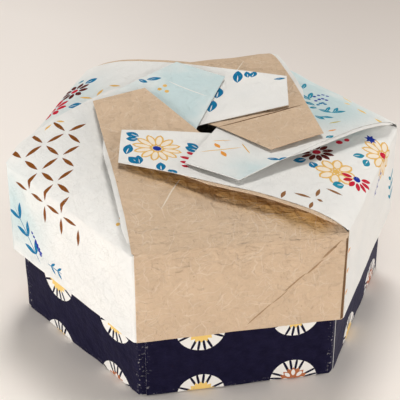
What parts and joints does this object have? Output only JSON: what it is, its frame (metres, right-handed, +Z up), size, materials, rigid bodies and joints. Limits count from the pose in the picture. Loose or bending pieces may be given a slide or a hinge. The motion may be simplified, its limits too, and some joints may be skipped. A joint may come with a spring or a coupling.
{
  "type": "origami box",
  "caption": "Hexagonal folded-paper gift box: a tray with a lift-off lid whose sheets close in a raised pinwheel of overlapping blades",
  "frame": {"origin": "middle of the tray's underside", "axes": "+Z up out of the lid, -Y out of the front wall, +X to the right of the front wall"},
  "size_m": [0.15, 0.13, 0.0779],
  "materials": {
    "printed_paper": "white fibrous handmade paper with a floral print",
    "tan_paper": "crinkled tan fibrous handmade paper",
    "navy_paper": "navy handmade paper with round white motifs"
  },
  "bodies": {
    "tray": {"base_unit_front": "navy_paper", "base_unit_front_right": "navy_paper", "base_unit_back_right": "navy_paper", "base_unit_back": "navy_paper", "base_unit_back_left": "navy_paper", "base_unit_front_left": "navy_paper"},
    "lid": {"lid_unit_front": "tan_paper", "lid_unit_front_right": "printed_paper", "lid_unit_back_right": "printed_paper", "lid_unit_back": "tan_paper", "lid_unit_back_left": "printed_paper", "lid_unit_front_left": "printed_paper"}
  },
  "joints": [
    {"name": "lid_lift", "type": "slide", "parent": "tray", "child": "lid", "axis": [0, 0, 1], "range_m": [0, 0.06]}
  ]
}
